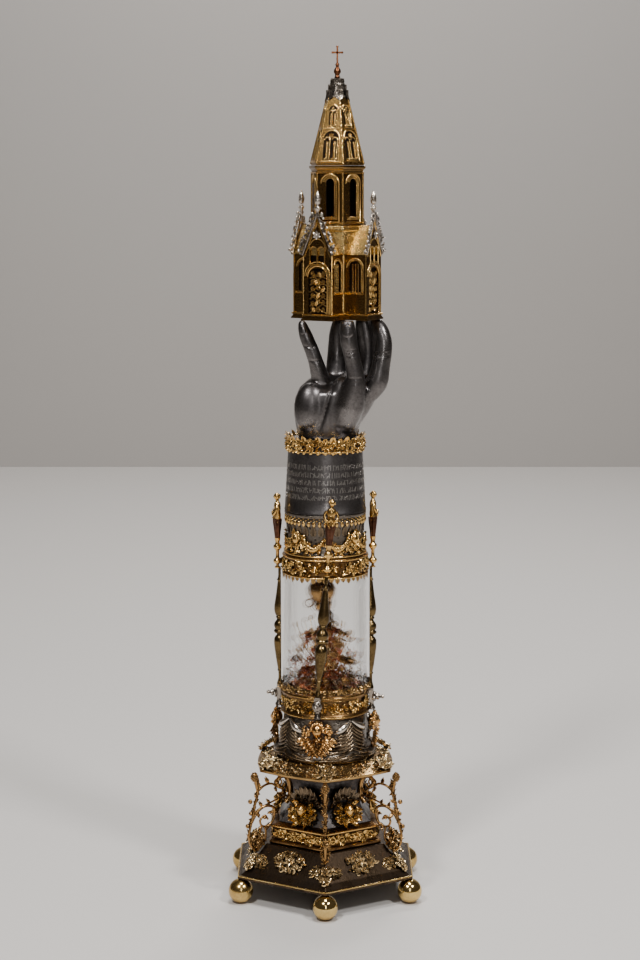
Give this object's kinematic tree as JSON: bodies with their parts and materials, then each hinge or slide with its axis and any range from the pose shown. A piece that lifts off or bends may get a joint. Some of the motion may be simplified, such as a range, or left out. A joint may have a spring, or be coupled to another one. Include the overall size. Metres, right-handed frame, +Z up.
{
  "type": "arm reliquary",
  "caption": "Upright arm reliquary: hexagonal foot on ball feet, glass cylinder between friezed rings, sleeve and open hand that carries a small church with a spire.",
  "frame": {"origin": "centre of the footprint on the plane that the ball feet stand on", "axes": "+Z up along the arm, -Y towards the viewer, +X to the viewer's right"},
  "size_m": [0.2176, 0.248, 0.9525],
  "materials": {
    "gilt": "worn gilding, dark in the recesses",
    "old_gilt": "dark old gilding",
    "dark_silver": "tarnished silver",
    "silver": "cast silver, dull",
    "polished_brass": "polished",
    "clear_glass": "clear"
  },
  "bodies": {
    "root": {"ball_foot_1": "polished_brass", "ball_foot_2": "polished_brass", "ball_foot_3": "polished_brass", "ball_foot_4": "polished_brass", "ball_foot_5": "polished_brass", "ball_foot_6": "polished_brass", "corner_mount_1": "silver", "corner_mount_2": "silver", "corner_mount_3": "silver", "corner_mount_4": "silver", "corner_mount_5": "silver", "corner_mount_6": "silver", "side_mount_1": "silver", "side_mount_2": "silver", "side_mount_3": "silver", "side_mount_4": "silver", "side_mount_5": "silver", "side_mount_6": "silver", "mask_1": "gilt", "mask_2": "gilt", "mask_3": "gilt", "mask_4": "gilt", "mask_5": "gilt", "mask_6": "gilt", "scroll_bracket_1": "gilt", "scroll_bracket_2": "gilt", "scroll_bracket_3": "gilt", "cherub_1": "gilt", "cherub_2": "gilt", "cherub_3": "gilt", "cherub_4": "gilt", "clamp_1": "silver", "clamp_2": "silver", "clamp_3": "silver", "clamp_4": "silver", "baluster_1": "gilt", "baluster_2": "gilt", "baluster_3": "gilt", "baluster_4": "gilt", "herm_1": "gilt", "herm_2": "gilt", "herm_3": "gilt", "herm_4": "gilt", "base_plate": "old_gilt", "frieze_plinth": "old_gilt", "waist_core": "dark_silver", "ledge_plate": "gilt", "winged_drum": "dark_silver", "lower_ring": "gilt", "glass_cylinder": "clear_glass", "upper_ring": "gilt", "upper_drum": "dark_silver", "sleeve": "dark_silver", "lace_collar": "gilt", "hand": "dark_silver", "church": "gilt", "lantern": "gilt", "spire": "gilt", "leaf_crown": "silver", "cross": "old_gilt"}
  },
  "joints": []
}
